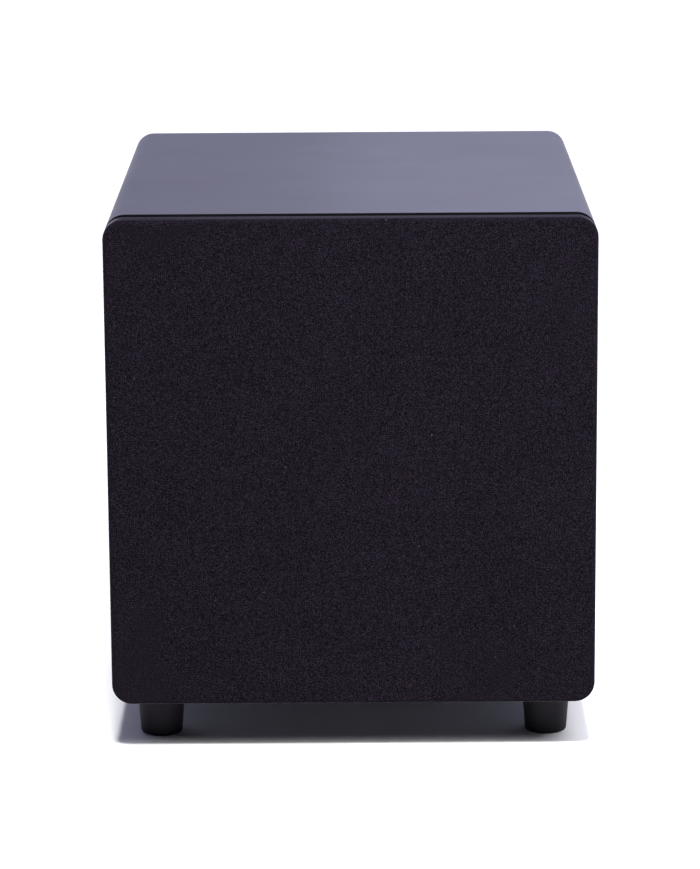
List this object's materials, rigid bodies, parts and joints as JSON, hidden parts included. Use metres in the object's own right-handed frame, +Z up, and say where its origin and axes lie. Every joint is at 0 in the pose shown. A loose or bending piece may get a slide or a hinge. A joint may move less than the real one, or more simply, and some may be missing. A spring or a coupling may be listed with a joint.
{
  "type": "subwoofer",
  "caption": "Powered bass-reflex subwoofer: rounded black box on round feet, cloth grille on pegs, front cone driver, rear port and amplifier panel with knobs and switches.",
  "frame": {"origin": "on the floor under the feet, at the middle of the whole object's footprint", "axes": "+X to the right seen from the front, the grille faces -Y and the amplifier panel +Y, +Z up"},
  "size_m": [0.3, 0.3832, 0.336],
  "materials": {
    "vinyl_wrap": "satin",
    "painted_board": "matte",
    "raw_board": "matte",
    "grille_cloth": "matte",
    "wadding": "matte",
    "black_plastic": "matte",
    "foot_rubber": "satin",
    "socket_rubber": "matte",
    "surround_rubber": "satin",
    "cone_pulp": "matte",
    "former": "satin",
    "copper": "satin",
    "spider_cloth": "matte",
    "zinc_steel": "satin",
    "black_steel": "satin",
    "basket_paint": "satin",
    "ferrite": "matte",
    "terminal_board": "matte",
    "lead_jacket": "satin",
    "panel_paint": "matte",
    "black_anodised": "satin",
    "circuit_board": "satin",
    "transformer": "satin",
    "jack_metal": "polished",
    "led_lens": "gloss"
  },
  "bodies": {
    "cabinet": {"cabinet_shell": "vinyl_wrap", "front_baffle": "painted_board", "rear_panel": "painted_board", "window_brace": "raw_board", "port_tube": "black_plastic", "damping_wadding": "wadding", "foot_front_left": "foot_rubber", "foot_front_right": "foot_rubber", "foot_rear_left": "foot_rubber", "foot_rear_right": "foot_rubber", "foot_screw_front_left": "zinc_steel", "foot_screw_front_right": "zinc_steel", "foot_screw_rear_left": "zinc_steel", "foot_screw_rear_right": "zinc_steel", "peg_socket_top_left": "socket_rubber", "peg_socket_top_right": "socket_rubber", "peg_socket_bottom_left": "socket_rubber", "peg_socket_bottom_right": "socket_rubber", "woofer_basket": "basket_paint", "woofer_screw_top_left": "black_steel", "woofer_screw_top_right": "black_steel", "woofer_screw_bottom_left": "black_steel", "woofer_screw_bottom_right": "black_steel", "surround": "surround_rubber", "trim_ring": "surround_rubber", "spider": "spider_cloth", "top_plate": "zinc_steel", "magnet": "ferrite", "pole_yoke": "zinc_steel", "terminal_strip": "terminal_board", "tinsel_lead_left": "copper", "tinsel_lead_right": "copper", "speaker_lead": "lead_jacket", "amp_panel": "panel_paint", "heat_sink": "black_anodised", "control_board": "circuit_board", "power_board": "circuit_board", "power_transformer": "transformer", "line_jacks": "jack_metal", "power_inlet": "black_plastic", "rocker_bezel": "black_plastic", "status_led": "led_lens"},
    "grille": {"grille_frame": "painted_board", "grille_cloth": "grille_cloth", "grille_peg_top_left": "black_plastic", "grille_peg_top_right": "black_plastic", "grille_peg_bottom_left": "black_plastic", "grille_peg_bottom_right": "black_plastic"},
    "cone_assembly": {"cone": "cone_pulp", "dust_cap": "cone_pulp", "coil_former": "former", "voice_coil": "copper"},
    "volume_control": {"volume_knob": "black_plastic", "volume_shaft": "zinc_steel"},
    "crossover_control": {"crossover_knob": "black_plastic", "crossover_shaft": "zinc_steel"},
    "phase_switch": {"phase_slider": "black_plastic"},
    "standby_switch": {"standby_slider": "black_plastic"},
    "mains_rocker": {"power_rocker": "black_plastic"},
    "fuse_tray": {"fuse_drawer": "black_plastic"}
  },
  "joints": [
    {"name": "grille_pull", "type": "slide", "parent": "cabinet", "child": "grille", "axis": [0, -1, 0], "range_m": [0, 0.06]},
    {"name": "cone_excursion", "type": "slide", "parent": "cabinet", "child": "cone_assembly", "axis": [0, -1, 0], "range_m": [-0.007, 0.007], "stiffness_N_per_m": 2900, "deforming": ["surround", "spider", "tinsel_lead_left", "tinsel_lead_right"]},
    {"name": "volume_turn", "type": "hinge", "parent": "cabinet", "child": "volume_control", "pos_m": [-0.032, 0.17685, 0.1915], "axis": [0, -1, 0], "range_deg": [-150, 150]},
    {"name": "crossover_turn", "type": "hinge", "parent": "cabinet", "child": "crossover_control", "pos_m": [-0.076, 0.17685, 0.1915], "axis": [0, -1, 0], "range_deg": [-150, 150]},
    {"name": "phase_slide", "type": "slide", "parent": "cabinet", "child": "phase_switch", "axis": [1, 0, 0], "range_m": [0, 0.004]},
    {"name": "standby_slide", "type": "slide", "parent": "cabinet", "child": "standby_switch", "axis": [1, 0, 0], "range_m": [0, 0.004]},
    {"name": "rocker_tilt", "type": "hinge", "parent": "cabinet", "child": "mains_rocker", "pos_m": [0.024, 0.17355, 0.079], "axis": [1, 0, 0], "range_deg": [0, 16]},
    {"name": "fuse_drawer_slide", "type": "slide", "parent": "cabinet", "child": "fuse_tray", "axis": [0, 1, 0], "range_m": [0, 0.018]}
  ]
}
